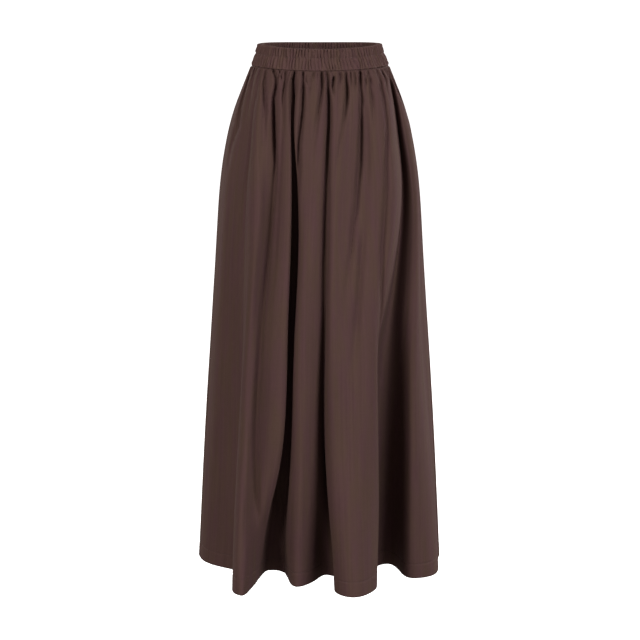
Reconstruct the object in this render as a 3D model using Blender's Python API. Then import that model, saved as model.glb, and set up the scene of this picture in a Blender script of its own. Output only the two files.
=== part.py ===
"""A long gathered skirt with a shirred elastic waistband, in the hollow form it has when worn.

Three sewn pieces: the waistband, a front panel and a back panel. The panels meet at two side
seams. The skirt hangs from the middle of its waistband, where the origin is: +Z is up, +X is
to the viewer's right as the front is seen, and the front faces -Y. Sizes are in millimetres,
angles in degrees round the waist from the left side seam (0) by the front (90), the right
side seam (180) and the back (270).
"""

import bpy
import numpy as np

MM = 0.001

# The waistband: a closed ring of gathered cloth round an elastic.
BAND_WALL = 3.0
BAND_TOP_CURL = 1.6
GATHER_COUNT = 100
GATHER_HEIGHT = 1.5
GATHER_UNEVENNESS = 0.35
GATHER_LEAN = 1.2
LEAN_HEIGHTS = (-12.0, 4.0)
SIDE_RISE = 3.6

# The band's outer outline, from the seam up: height, half width, half depth, and how far the
# gathers stand out there as a share of GATHER_HEIGHT.
BAND_OUTLINE = (
    ("height", "half_width", "half_depth", "gather"),
    (-19.2, 129.4, 96.0, 1.0),
    (-11.0, 126.0, 93.0, 1.0),
    (2.0, 121.0, 88.8, 0.35),
    (10.0, 119.2, 87.2, 1.0),
    (17.6, 117.6, 85.8, 1.0),
    (20.2, 116.2, 84.8, 0.6),
)

# The panels: one wall of cloth from the seam to the hem.
CLOTH_WALL = 1.5
SEAM_GAP = 0.3
SEAM_HEIGHT = -19.5
COLUMNS = 82
ROW_HEIGHTS = (-19.5, -29, -45, -68, -98, -138, -190, -255, -340, -430, -530, -640, -755, -870, -985)

# The smooth form under the folds, an ellipse at each height.
OUTLINE = (
    ("height", "half_width", "front", "back"),
    (-20, 130.5, 96, 96),
    (-50, 142.5, 106, 108),
    (-90, 158.0, 118, 124),
    (-150, 173.5, 133, 142),
    (-215, 184.5, 145, 154),
    (-330, 194.5, 160, 167),
    (-500, 206.0, 178, 181),
    (-745, 222.5, 207, 206),
    (-985, 235.5, 240, 232),
)

# Heights at which the fold tables place each fold line.
STATIONS = {"seam": -19.5, "yoke": -90, "hip": -215, "knee": -500, "calf": -745, "hem": -985}

# The front's fold lines, its crests and valleys from left to right. At each station: the angle,
# and the reach as a share of the ellipse. At the seam every line lies on the ellipse.
FRONT_FOLDS = (
    ("line", "seam", "yoke", "reach", "hip", "reach", "knee", "reach", "calf", "reach", "hem", "reach"),
    ("left_panel", 10, 20, 0.985, 24, 0.98, 21, 0.95, 18, 0.92, 12, 0.92),
    ("left_tuck", 22, 35, 0.965, 41, 0.97, 38, 0.90, 36, 0.83, 33, 0.76),
    ("pipe_left", 29, 39, 0.985, 47, 1.02, 47, 1.00, 46, 1.00, 51, 1.10),
    ("pipe_crest", 39, 44, 1.00, 54, 1.04, 53, 1.03, 53, 1.04, 58, 1.18),
    ("pipe_right", 52, 55, 0.95, 57, 0.92, 57, 0.96, 57, 0.97, 56, 0.96),
    ("plateau", 59, 63, 1.00, 67, 0.98, 64, 1.00, 63, 0.99, 50, 0.77),
    ("deep_valley_left", 66, 70, 1.00, 73.2, 1.00, 72.5, 0.985, 68.5, 0.945, 42, 0.61),
    ("deep_valley_floor", 69, 68.2, 0.89, 68.2, 0.73, 66, 0.69, 61.5, 0.68, 40, 0.555),
    ("deep_valley_floor", 70.5, 69.7, 0.885, 70.7, 0.72, 69, 0.67, 65, 0.65, 45, 0.50),
    ("deep_valley_right", 73, 73, 0.99, 77.5, 0.965, 77.5, 0.96, 74.8, 0.87, 62, 0.56),
    ("middle_ridge", 80, 81, 1.01, 82, 0.995, 81, 0.995, 80, 0.92, 77, 0.79),
    ("middle_slope", 91, 92.5, 1.00, 90.8, 0.99, 86.3, 0.957, 85.5, 0.85, 86, 0.635),
    ("middle_valley_floor", 94, 95, 0.975, 93.4, 0.955, 91, 0.885, 90.7, 0.74, 99, 0.475),
    ("middle_valley_floor", 96, 96.2, 0.975, 94.6, 0.95, 92.9, 0.835, 93.8, 0.66, 103.5, 0.515),
    ("broad_left", 99, 98.2, 1.005, 97.2, 1.00, 94.7, 0.99, 95.5, 0.95, 98.5, 0.905),
    ("broad_crest", 113, 110, 1.01, 104, 1.00, 103, 1.01, 103, 1.03, 104, 1.06),
    ("broad_right", 132, 126, 1.00, 122, 1.02, 120.5, 1.02, 118.5, 1.00, 118.5, 0.94),
    ("recess_left", 163.5, 150.5, 1.00, 145, 1.00, 126, 0.93, 136.5, 0.665, 153, 0.54),
    ("recess", 170, 165.3, 0.936, 164.4, 0.895, 153.5, 0.755, 158, 0.63, 161.2, 0.583),
    ("recess_right", 172.5, 161.2, 0.997, 159.6, 0.989, 149.5, 0.905, 152, 0.79, 148.7, 0.785),
    ("right_crest", 175, 163.5, 1.016, 161.5, 1.02, 149, 1.01, 144.8, 0.972, 143.6, 0.928),
    ("right_edge", 177, 171.5, 1.01, 168, 1.01, 160, 1.00, 157, 1.01, 152.1, 1.042),
    ("right_tuck", 178.5, 177.5, 0.985, 175, 0.98, 170, 0.97, 170, 0.985, 162.3, 1.03),
)

# The back's folds, plainer: the angle of each valley at the seam and at the hem, the half width
# of its mouth at the hem, and how deep it is there as a share of the ellipse.
BACK_FOLDS = (
    ("seam", "hem", "mouth", "depth"),
    (199, 195, 7, 0.20),
    (222, 219, 10, 0.30),
    (246, 243, 8, 0.24),
    (268, 266, 10, 0.31),
    (291, 289, 8, 0.25),
    (314, 316, 10, 0.30),
    (336, 341, 8, 0.20),
)
BACK_MOUTH_AT_SEAM = 4
BACK_CREST = 0.04
FOLD_GROWTH = {"seam": 0.0, "yoke": 0.12, "hip": 0.34, "knee": 0.66, "calf": 0.84, "hem": 1.0}

# Gathers under the waist seam, each followed down its length in steps of: distance below the
# seam, angle, depth of the furrow and its half width.
FRONT_GATHERS = (
    (
        (0, 9, 2.4, 4.5), (36, 14, 5.4, 5), (78, 18.6, 5.4, 6), (106, 22, 4.8, 7.5),
        (144, 18.5, 3.6, 8), (200, 19, 0, 8),
    ),
    (
        (0, 39.4, 2.8, 4.5), (35, 43.1, 6, 4.5), (73, 49.1, 4.5, 4.5), (136, 52.8, 1.7, 4.5),
        (190, 52.9, 0, 4.5),
    ),
    (
        (0, 48.2, 6, 4.5), (33, 54.1, 6.7, 4.5), (72, 55.7, 9.7, 4.5), (134, 59.8, 9.7, 4.9),
        (170, 61.4, 6.7, 5.2), (207, 60.6, 4.5, 5.9), (309, 58.6, 4.8, 5.5), (440, 56.4, 5.7, 6),
        (573, 56, 6, 6), (690, 55.9, 6, 6.5), (800, 56.6, 6, 7), (880, 56.5, 3.6, 8),
        (966, 57.3, 2, 9.9),
    ),
    (
        (0, 60.8, 5.3, 4.5), (32, 62.6, 6, 4.5), (71, 65.2, 2.8, 4.5), (170, 66.2, 1.7, 4.5),
        (307, 64.7, 1.4, 4.5), (400, 64.5, 0, 4.5),
    ),
    ((0, 69.3, 4.5, 4.5), (31, 68.8, 8.3, 4.5), (70, 71.3, 6.7, 4.5), (110, 72.3, 0, 4.5)),
    (
        (0, 76, 4.5, 4.5), (30, 77.7, 8.3, 4.5), (70, 78.5, 8.4, 4.5), (133, 77.4, 7.8, 4.5),
        (169, 77.6, 7.2, 5), (215, 77.3, 2.4, 5), (250, 77, 0, 5),
    ),
    ((0, 84.8, 4.5, 4.5), (32, 82.2, 1.7, 4.5), (50, 81.8, 0, 4.5)),
    (
        (0, 91.5, 6, 4.5), (30, 91.3, 6.6, 4.5), (69, 89.2, 5.4, 4.5), (140, 86.2, 1.2, 4.5),
        (180, 85, 0, 4.5),
    ),
    (
        (0, 95.5, 4.5, 4.5), (30, 96.2, 6, 4.5), (69, 96.6, 8.4, 4.5), (132, 95.4, 7.2, 4.5),
        (168, 94.8, 6, 4.5), (204, 94, 5.4, 4.5), (250, 93.3, 5.4, 4.5), (305, 92.7, 5.4, 4.5),
        (380, 92, 3, 4.5), (450, 91.5, 0, 4.5),
    ),
    ((0, 102, 2.8, 4.5), (30, 99.3, 5.3, 4.5), (60, 99.8, 0, 4.5)),
    ((0, 106.5, 4.5, 4.5), (30, 103.7, 2, 4.5), (70, 102.2, 1, 4.5), (100, 101.7, 0, 4.5)),
    (
        (0, 111.8, 5.3, 4.5), (31, 110.4, 8.3, 4.5), (70, 107.2, 6, 4.5), (132, 102.5, 2, 4.5),
        (168, 100.2, 1.4, 4.5), (220, 98.3, 0, 4.5),
    ),
    (
        (0, 125.2, 6, 4.5), (32, 122.2, 5.3, 4.5), (71, 119.4, 6.6, 4.5), (134, 116.5, 10.2, 5),
        (170, 115.1, 9.6, 5.5), (206, 113.2, 7.8, 6), (254, 111.5, 6.6, 6), (290, 109.2, 5.4, 5.5),
        (326, 108, 4.8, 5), (380, 105.5, 2.4, 5), (430, 104, 0, 5),
    ),
    ((50, 123, 0, 6), (125, 120.5, 5.4, 8), (185, 118.4, 4.8, 8), (250, 115, 3, 8), (310, 112, 0, 8)),
    (
        (230, 118, 0, 6), (326, 114.1, 4.2, 6.5), (390, 112, 4.8, 6), (456, 109.8, 4.8, 6.5),
        (560, 106.5, 0, 7),
    ),
    ((8, 131.9, 0, 4.5), (51, 129.7, 4.5, 4.5), (120, 125.9, 0, 4.5)),
    (
        (0, 143.5, 2.8, 4.5), (34, 139.2, 5.3, 4.5), (73, 137.4, 4.5, 4.5), (173, 130.8, 5.4, 5),
        (255, 128, 5.4, 5.5), (328, 125.5, 5.4, 6), (400, 125, 4.2, 6), (458, 125.4, 4.8, 6),
        (540, 126, 0, 7),
    ),
    ((0, 169, 2.4, 4.5), (55, 168.5, 3.6, 4.5), (90, 167.5, 0, 4.5)),
)
BACK_GATHERS = 26
BACK_GATHER_LENGTHS = (70, 150, 45, 110, 190, 60, 35)
BACK_GATHER_DEPTHS = (4.4, 3.2, 2.8, 4.0, 5.0)
BACK_GATHER_SPREAD = 3.8
BACK_GATHER_UNEVENNESS = 0.25

# A gather is drawn in mostly straight from the front or the back, except near the side seams.
DRAWN_STRAIGHT = 0.75
DRAWN_STRAIGHT_BEYOND = 30
# Share of a back gather's length and of its full depth there.
BACK_GATHER_FORM = ((0, 0.6), (0.15, 0.9), (0.35, 1.0), (0.65, 0.6), (1.0, 0.0))
SIDE_RISE_FADES_BELOW = 90

CLOTH_COLOUR = (0.078, 0.045, 0.039)
BAND_COLOUR = (0.080, 0.046, 0.040)
CLOTH_ROUGHNESS = 0.85


def spline(stations, values, where, period=None):
    """Cubic curves with no jump in curvature through rows of values, open or closed."""
    x, y = np.asarray(stations, float), np.asarray(values, float)
    count = len(x)
    if period:
        x, y = np.append(x, x[0] + period), np.vstack([y, y[:1]])
    step, rise = np.diff(x), np.diff(y, axis=0) / np.diff(x)[:, None]
    size = len(x)
    matrix, right = np.eye(size), np.zeros_like(y)
    for i in range(0 if period else 1, count if period else count - 1):
        before = (i - 1) % (size - 1)
        matrix[i, i] = 2 * (step[before] + step[i])
        matrix[i, before] += step[before]
        matrix[i, (i + 1) % (size - 1) if period else i + 1] += step[i]
        right[i] = 6 * (rise[i] - rise[before])
    if period:
        matrix[-1, 0] = -1
    bend = np.linalg.solve(matrix, right)
    where = np.asarray(where, float)
    if period:
        where = x[0] + (where - x[0]) % period
    i = np.clip(np.searchsorted(x, where, side="right") - 1, 0, len(step) - 1)
    t, h = (where - x[i])[:, None], step[i][:, None]
    slope = rise[i] - h * (2 * bend[i] + bend[i + 1]) / 6
    return y[i] + slope * t + bend[i] * t**2 / 2 + (bend[i + 1] - bend[i]) * t**3 / (6 * h)


def smooth(low, high, value):
    t = np.clip((value - low) / (high - low), 0, 1)
    return t * t * (3 - 2 * t)


def front_lines():
    """Angle and reach of each front fold line at every station."""
    for name, seam, *rest in FRONT_FOLDS[1:]:
        yield [(seam, 1.0)] + list(zip(rest[0::2], rest[1::2]))


def back_lines():
    """Angle and reach of each back valley and of the shoulders on both sides of it."""
    growth = np.array(list(FOLD_GROWTH.values()))
    for seam, hem, mouth, depth in BACK_FOLDS[1:]:
        angles = seam + (hem - seam) * growth
        half_mouth = BACK_MOUTH_AT_SEAM + (mouth - BACK_MOUTH_AT_SEAM) * growth
        crest = BACK_CREST * growth * np.sin(np.radians(angles)) ** 2
        yield list(zip(angles - half_mouth, 1 + crest))
        yield list(zip(angles, 1 - depth * growth))
        yield list(zip(angles + half_mouth, 1 + crest))


def side_line(angle):
    return [(angle, 1.0)] * len(STATIONS)


def all_lines():
    """Every fold line round the skirt, as an array of line by station by (angle, reach)."""
    return np.array([side_line(0), *front_lines(), side_line(180), *back_lines()], float)


LINES = all_lines()
FRONT_LINES = len(FRONT_FOLDS) - 1


def outline(height):
    """Half width, front depth and back depth of the smooth form at a height."""
    rows = np.array(OUTLINE[:0:-1])
    return spline(rows[:, 0], rows[:, 1:], [height])[0]


def ellipse(angle, height):
    """A point of the smooth form at an angle."""
    half_width, front, back = outline(height)
    turn = np.radians(angle)
    depth = np.where(np.sin(turn) >= 0, front, back)
    return np.stack([-half_width * np.cos(turn), -depth * np.sin(turn)], axis=-1)


def fold_ring(places, height):
    """Points of the folded ring at a height. A place counts fold lines, 0 at the left side."""
    stations = list(STATIONS.values())[::-1]
    rows = LINES[:, ::-1].transpose(1, 0, 2).reshape(len(stations), -1)
    angle, reach = spline(stations, rows, [height]).reshape(-1, 2).T
    knots = ellipse(angle, height) * reach[:, None]
    chord = np.linalg.norm(np.roll(knots, -1, axis=0) - knots, axis=1)
    along = np.concatenate([[0], np.cumsum(chord)])
    whole = np.floor(places).astype(int)
    where = along[whole] + (places - whole) * chord[whole % len(chord)]
    return spline(along[:-1], knots, where, period=along[-1])


def back_gathers():
    """The gathers of the back, in the steps of the front's table."""
    for i in range(BACK_GATHERS):
        angle = 180 + 180 * (i + 0.5 + BACK_GATHER_UNEVENNESS * np.sin(5 * i)) / BACK_GATHERS
        length = BACK_GATHER_LENGTHS[i % len(BACK_GATHER_LENGTHS)]
        depth = BACK_GATHER_DEPTHS[i % len(BACK_GATHER_DEPTHS)]
        yield [(length * t, angle, depth * share, BACK_GATHER_SPREAD) for t, share in BACK_GATHER_FORM]


GATHERS = [np.array(steps, float).T for steps in (*FRONT_GATHERS, *back_gathers())]


def gather_depth(points, height):
    """How far the gathers draw the cloth in at points of one ring."""
    half_width, front, back = outline(height)
    depth = np.where(points[:, 1] <= 0, front, back)
    turn = np.arctan2(-points[:, 1] / depth, -points[:, 0] / half_width)
    angle = np.degrees(turn) % 360
    arc = np.radians(1) * np.hypot(half_width * np.sin(turn), depth * np.cos(turn))
    fallen = SEAM_HEIGHT - height
    total = np.zeros(len(points))
    for down, across, deep, spread in GATHERS:
        if down[0] <= fallen < down[-1]:
            aside = (angle - np.interp(fallen, down, across) + 180) % 360 - 180
            width = np.interp(fallen, down, spread)
            total += np.interp(fallen, down, deep) * np.exp(-((aside * arc / width) ** 2))
    return total


def side_rise(cosine, height):
    """How much higher the waist seam stands towards the sides, fading out below it."""
    return SIDE_RISE * cosine**2 * (1 - smooth(0, SIDE_RISE_FADES_BELOW, SEAM_HEIGHT - height))


def skirt_ring(places, height):
    """Outer points of the skirt at a height, gathers included."""
    flat = fold_ring(places, height)
    half_width, front, back = outline(height)
    inward = -flat / np.array([half_width**2, ((front + back) / 2) ** 2])
    inward /= np.linalg.norm(inward, axis=1)[:, None]
    inward *= 1 - DRAWN_STRAIGHT
    inward[:, 1] += DRAWN_STRAIGHT * np.clip(-flat[:, 1] / DRAWN_STRAIGHT_BEYOND, -1, 1)
    inward /= np.linalg.norm(inward, axis=1)[:, None]
    flat = flat + inward * gather_depth(flat, height)[:, None]
    cosine = np.clip(flat[:, 0] / half_width, -1, 1)
    return np.column_stack([flat, height + side_rise(cosine, height)])


def panel_places(first, last):
    """Places of a panel's columns: more of them where the cloth between two lines is longer."""
    lines = np.arange(first, last + 1)
    lengths = np.zeros(len(lines) - 1)
    for height in (STATIONS["yoke"], STATIONS["knee"], STATIONS["hem"]):
        ring = fold_ring(lines.astype(float), height)
        step = np.linalg.norm(np.diff(ring, axis=0), axis=1)
        lengths += step / step.sum()
    shares = np.maximum(2, np.round(lengths / lengths.sum() * COLUMNS)).astype(int)
    spans = [line + np.arange(n) / n for line, n in zip(lines, shares)]
    return np.append(np.concatenate(spans), last)


def normals(points):
    """Outward unit normals of a grid of points, rows down and columns round."""
    across = np.gradient(points, axis=1)
    down = np.gradient(points, axis=0)
    normal = np.cross(across, down)
    return -normal / np.linalg.norm(normal, axis=2)[:, :, None]


def panel_grid(first, last):
    """Outer points of a panel, with its side edges drawn back from the seams."""
    places = panel_places(first, last)
    grid = np.array([skirt_ring(places, height) for height in ROW_HEIGHTS])
    for edge, inside in ((0, 1), (-1, -2)):
        away = grid[:, inside] - grid[:, edge]
        grid[:, edge] += away / np.linalg.norm(away, axis=1)[:, None] * SEAM_GAP / 2
    return grid


def wall(name, outer, inner, closed):
    """One closed body between two grids of points, open or closed round the waist."""
    sections = np.concatenate([outer, inner[::-1]]).transpose(1, 0, 2)
    columns, around = sections.shape[:2]
    faces = []
    for column in range(columns if closed else columns - 1):
        here, after = column * around, (column + 1) % columns * around
        for k in range(around):
            ahead = (k + 1) % around
            faces.append([here + k, here + ahead, after + ahead, after + k])
    if not closed:
        last = (columns - 1) * around
        for k in range(around // 2 - 1):
            back = around - 1 - k
            faces.append([k + 1, k, back, back - 1])
            faces.append([last + k, last + k + 1, last + back - 1, last + back])
    mesh = bpy.data.meshes.new(name)
    mesh.from_pydata((sections.reshape(-1, 3) * MM).tolist(), [], faces)
    mesh.shade_smooth()
    return bpy.data.objects.new(name, mesh)


def panel(name, first, last):
    """A panel of the skirt as a wall of cloth between two side seams."""
    outer = panel_grid(first, last)
    out = normals(outer)
    for edge in (0, -1):
        side = np.sign(out[:, edge, 0])
        out[:, edge] = np.column_stack([side, 0 * side, 0 * side])
    return wall(name, outer, outer - out * CLOTH_WALL, closed=False)


def band_ring(angle, height, half_width, half_depth, gather):
    """One ring of the waistband's outside, with its gathers as small ridges."""
    turn = np.radians(angle)
    ridge = np.where(np.arange(len(angle)) % 2, 1.0, 0.0)
    uneven = 1 - GATHER_UNEVENNESS * (0.5 + 0.5 * np.sin(7 * turn + 2 * np.sin(11 * turn)))
    out = GATHER_HEIGHT * gather * ridge * uneven
    rise = SIDE_RISE * np.cos(turn) ** 2
    across, deep = (half_width + out) * np.cos(turn), (half_depth + out) * np.sin(turn)
    return np.column_stack([-across, -deep, height + rise])


def band_angles(height):
    """Angles of the band's ridges and furrows: below the middle they lean to one side."""
    step = 360 / (2 * GATHER_COUNT)
    lean = GATHER_LEAN * (1 - smooth(*LEAN_HEIGHTS, height))
    return np.arange(2 * GATHER_COUNT) * step + lean


def waistband():
    """The ring of gathered cloth: ridged outside, plain inside, with a rolled top edge."""
    rows = BAND_OUTLINE[:0:-1]
    outer = [band_ring(band_angles(row[0]), *row) for row in rows]
    inner = []
    for row, shrink in ((rows[0], BAND_WALL - BAND_TOP_CURL), (rows[2], BAND_WALL), (rows[-1], BAND_WALL)):
        height, half_width, half_depth, _ = row
        inner.append(band_ring(band_angles(height), height, half_width - shrink, half_depth - shrink, 0))
    return wall("waistband", np.array(outer), np.array(inner), closed=True)


def material(name, colour):
    """Matte plain-weave cloth."""
    made = bpy.data.materials.new(name)
    made.use_nodes = True
    shader = made.node_tree.nodes["Principled BSDF"]
    shader.inputs["Base Color"].default_value = (*colour, 1)
    shader.inputs["Roughness"].default_value = CLOTH_ROUGHNESS
    shader.inputs["Metallic"].default_value = 0
    return made


def clear_scene():
    for thing in list(bpy.data.objects):
        bpy.data.objects.remove(thing, do_unlink=True)


def build():
    clear_scene()
    collection = bpy.data.collections.new("gathered_maxi_skirt")
    bpy.context.scene.collection.children.link(collection)
    right_side = FRONT_LINES + 1
    pieces = (
        (waistband(), BAND_COLOUR),
        (panel("front_panel", 0, right_side), CLOTH_COLOUR),
        (panel("back_panel", right_side, len(LINES)), CLOTH_COLOUR),
    )
    for piece, colour in pieces:
        piece.data.materials.append(material(piece.name + "_cloth", colour))
        collection.objects.link(piece)


build()
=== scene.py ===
"""The finish of a long gathered skirt with a shirred elastic waistband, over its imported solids.

Sizes are in millimetres and angles in degrees round the waist, as in the part's source: 0 at the
left side seam, 90 in front, 180 at the right side seam and 270 behind. The skirt's origin is the
middle of its waistband and its front faces -Y.
"""

import math

import bpy
import numpy as np
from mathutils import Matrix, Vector


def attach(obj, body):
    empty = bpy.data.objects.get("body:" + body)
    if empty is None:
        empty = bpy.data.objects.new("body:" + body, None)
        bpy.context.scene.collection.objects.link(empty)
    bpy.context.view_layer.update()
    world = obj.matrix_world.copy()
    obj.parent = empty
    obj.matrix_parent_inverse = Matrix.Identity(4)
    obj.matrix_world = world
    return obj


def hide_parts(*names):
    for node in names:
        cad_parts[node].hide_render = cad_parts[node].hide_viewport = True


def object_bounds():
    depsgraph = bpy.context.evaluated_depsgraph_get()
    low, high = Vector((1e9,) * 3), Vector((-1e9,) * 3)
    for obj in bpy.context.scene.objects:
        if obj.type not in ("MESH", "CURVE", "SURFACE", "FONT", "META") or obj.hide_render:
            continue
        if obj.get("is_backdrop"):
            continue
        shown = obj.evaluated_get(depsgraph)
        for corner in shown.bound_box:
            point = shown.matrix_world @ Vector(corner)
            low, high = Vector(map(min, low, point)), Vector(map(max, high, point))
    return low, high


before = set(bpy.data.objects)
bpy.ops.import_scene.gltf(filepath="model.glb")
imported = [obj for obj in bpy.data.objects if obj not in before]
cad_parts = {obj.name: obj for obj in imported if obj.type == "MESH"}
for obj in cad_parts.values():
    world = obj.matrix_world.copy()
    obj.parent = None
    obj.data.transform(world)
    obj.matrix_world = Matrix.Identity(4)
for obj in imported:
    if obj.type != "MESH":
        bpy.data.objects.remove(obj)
cad_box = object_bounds()

MM = 0.001

# The smooth form under the folds, an ellipse at each height.
OUTLINE = (
    ("height", "half_width", "front", "back"),
    (-20, 130.5, 96, 96),
    (-50, 142.5, 106, 108),
    (-90, 158.0, 118, 124),
    (-150, 173.5, 133, 142),
    (-215, 184.5, 145, 154),
    (-330, 194.5, 160, 167),
    (-500, 206.0, 178, 181),
    (-745, 222.5, 207, 206),
    (-985, 235.5, 240, 232),
)
# Heights at which the fold tables place each fold line.
STATIONS = {"seam": -19.5, "yoke": -90, "hip": -215, "knee": -500, "calf": -745, "hem": -985}

# The front's fold lines, its crests and valleys from left to right. At each station: the angle,
# and the reach as a share of the ellipse. At the seam every line lies on the ellipse. Some of these
# numbers were worked out by scratch programs from places picked on the photo, as report.md says.
FRONT_FOLDS = (
    ("line", "seam", "yoke", "reach", "hip", "reach", "knee", "reach", "calf", "reach", "hem", "reach"),
    ("left_panel", 10, 20, 0.985, 24, 0.98, 21, 0.95, 18, 0.92, 12, 0.92),
    ("left_tuck", 22, 35, 0.965, 41, 0.97, 38, 0.90, 36, 0.83, 33, 0.76),
    ("pipe_left", 29, 39, 0.985, 47, 1.02, 47, 1.00, 46, 1.00, 51, 1.10),
    ("pipe_crest", 39, 44, 1.00, 54, 1.04, 53, 1.03, 53, 1.04, 58, 1.18),
    ("pipe_right", 52, 55, 0.95, 57, 0.92, 57, 0.96, 57, 0.97, 56, 0.96),
    ("plateau", 59, 63, 1.00, 67, 0.98, 64, 1.00, 63, 0.99, 50, 0.77),
    ("deep_valley_left", 66, 70, 1.00, 73.2, 1.00, 72.5, 0.985, 68.5, 0.945, 42, 0.61),
    ("deep_valley_floor", 69, 68.2, 0.89, 68.2, 0.73, 66, 0.69, 61.5, 0.68, 40, 0.555),
    ("deep_valley_floor", 70.5, 69.7, 0.885, 70.7, 0.72, 69, 0.67, 65, 0.65, 45, 0.50),
    ("deep_valley_right", 73, 73, 0.99, 77.5, 0.965, 77.5, 0.96, 74.8, 0.87, 62, 0.56),
    ("middle_ridge", 80, 81, 1.01, 82, 0.995, 81, 0.995, 80, 0.92, 77, 0.79),
    ("middle_slope", 91, 92.5, 1.00, 90.8, 0.99, 86.3, 0.957, 85.5, 0.85, 86, 0.635),
    ("middle_valley_floor", 94, 95, 0.975, 93.4, 0.955, 91, 0.885, 90.7, 0.74, 99, 0.475),
    ("middle_valley_floor", 96, 96.2, 0.975, 94.6, 0.95, 92.9, 0.835, 93.8, 0.66, 103.5, 0.515),
    ("broad_left", 99, 98.2, 1.005, 97.2, 1.00, 94.7, 0.99, 95.5, 0.95, 98.5, 0.905),
    ("broad_crest", 113, 110, 1.01, 104, 1.00, 103, 1.01, 103, 1.03, 104, 1.06),
    ("broad_right", 132, 126, 1.00, 122, 1.02, 120.5, 1.02, 118.5, 1.00, 118.5, 0.94),
    ("recess_left", 163.5, 150.5, 1.00, 145, 1.00, 126, 0.93, 136.5, 0.665, 153, 0.54),
    ("recess", 170, 165.3, 0.936, 164.4, 0.895, 153.5, 0.755, 158, 0.63, 161.2, 0.583),
    ("recess_right", 172.5, 161.2, 0.997, 159.6, 0.989, 149.5, 0.905, 152, 0.79, 148.7, 0.785),
    ("right_crest", 175, 163.5, 1.016, 161.5, 1.02, 149, 1.01, 144.8, 0.972, 143.6, 0.928),
    ("right_edge", 177, 171.5, 1.01, 168, 1.01, 160, 1.00, 157, 1.01, 152.1, 1.042),
    ("right_tuck", 178.5, 177.5, 0.985, 175, 0.98, 170, 0.97, 170, 0.985, 162.3, 1.03),
)

# The back's folds, plainer: the angle of each valley at the seam and at the hem, the half width
# of its mouth at the hem, and how deep it is there as a share of the ellipse.
BACK_FOLDS = (
    ("seam", "hem", "mouth", "depth"),
    (199, 195, 7, 0.20),
    (222, 219, 10, 0.30),
    (246, 243, 8, 0.24),
    (268, 266, 10, 0.31),
    (291, 289, 8, 0.25),
    (314, 316, 10, 0.30),
    (336, 341, 8, 0.20),
)
BACK_MOUTH_AT_SEAM = 4
BACK_CREST = 0.04
FOLD_GROWTH = {"seam": 0.0, "yoke": 0.12, "hip": 0.34, "knee": 0.66, "calf": 0.84, "hem": 1.0}

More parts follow.
